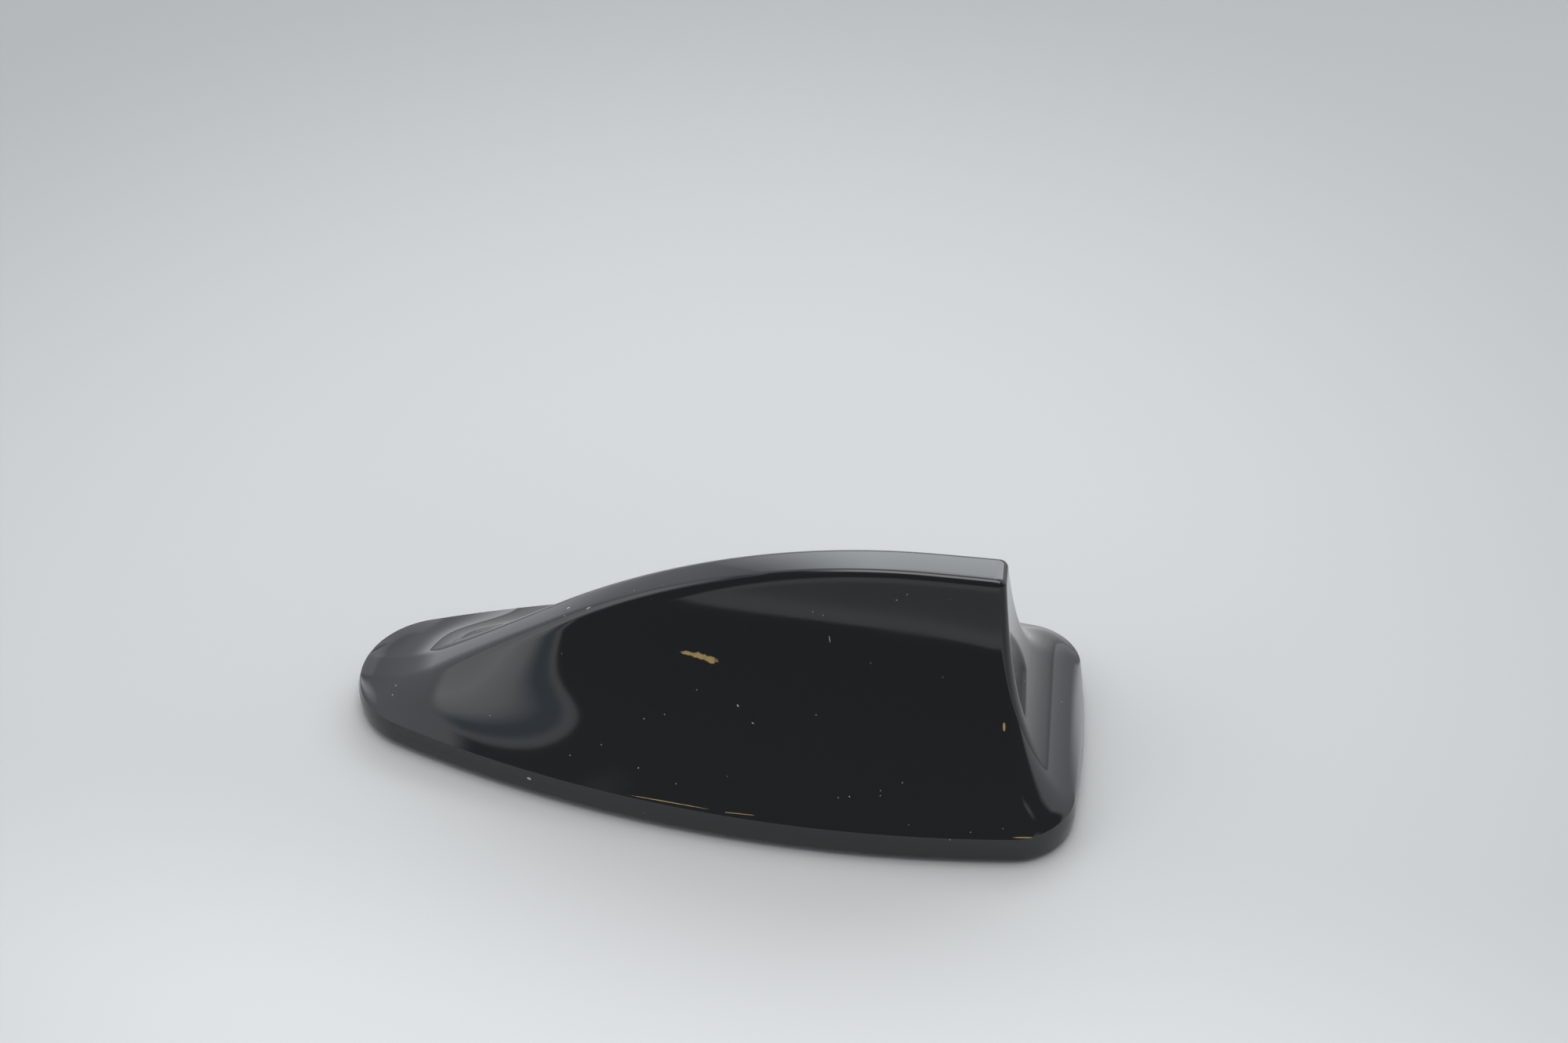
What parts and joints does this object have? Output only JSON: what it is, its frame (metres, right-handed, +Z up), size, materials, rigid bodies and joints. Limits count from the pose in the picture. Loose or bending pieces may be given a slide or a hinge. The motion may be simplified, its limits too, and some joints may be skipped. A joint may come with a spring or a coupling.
{
  "type": "shark-fin car roof antenna",
  "caption": "Glossy black shark-fin roof antenna with a hollowed tail, a sealed cast base, a threaded boss for the roof bolt and a grommet for the lead.",
  "frame": {"origin": "on the roof plane, in the middle of the outline, on the axis of the roof bolt", "axes": "+X to the rear of the car, so the nose is at -X; +Z up; +Y completes the right hand"},
  "size_m": [0.15, 0.067, 0.0478],
  "materials": {
    "cover_paint": "gloss black paint over moulded plastic, chipped and lightly scratched",
    "cast_metal": "as cast",
    "seal_rubber": "matt",
    "screw_steel": "zinc plated",
    "board_laminate": "green solder mask",
    "patch_ceramic": "unglazed",
    "pin_brass": "bright",
    "can_steel": "tinned",
    "chip_plastic": "moulded",
    "plate_brass": "stamped sheet",
    "holder_plastic": "moulded",
    "damper_foam": "closed-cell foam"
  },
  "bodies": {
    "root": {"fin_cover": "cover_paint", "base_casting": "cast_metal", "roof_seal": "seal_rubber", "cover_seal": "seal_rubber", "cover_screws": "screw_steel", "lead_grommet": "seal_rubber", "main_board": "board_laminate", "board_screws": "screw_steel", "satellite_patch": "patch_ceramic", "patch_pin": "pin_brass", "shield_can": "can_steel", "amplifier_chips": "chip_plastic", "radiator_plate": "plate_brass", "radiator_holder": "holder_plastic", "lead_socket": "holder_plastic", "damper_strip": "damper_foam"}
  },
  "joints": []
}
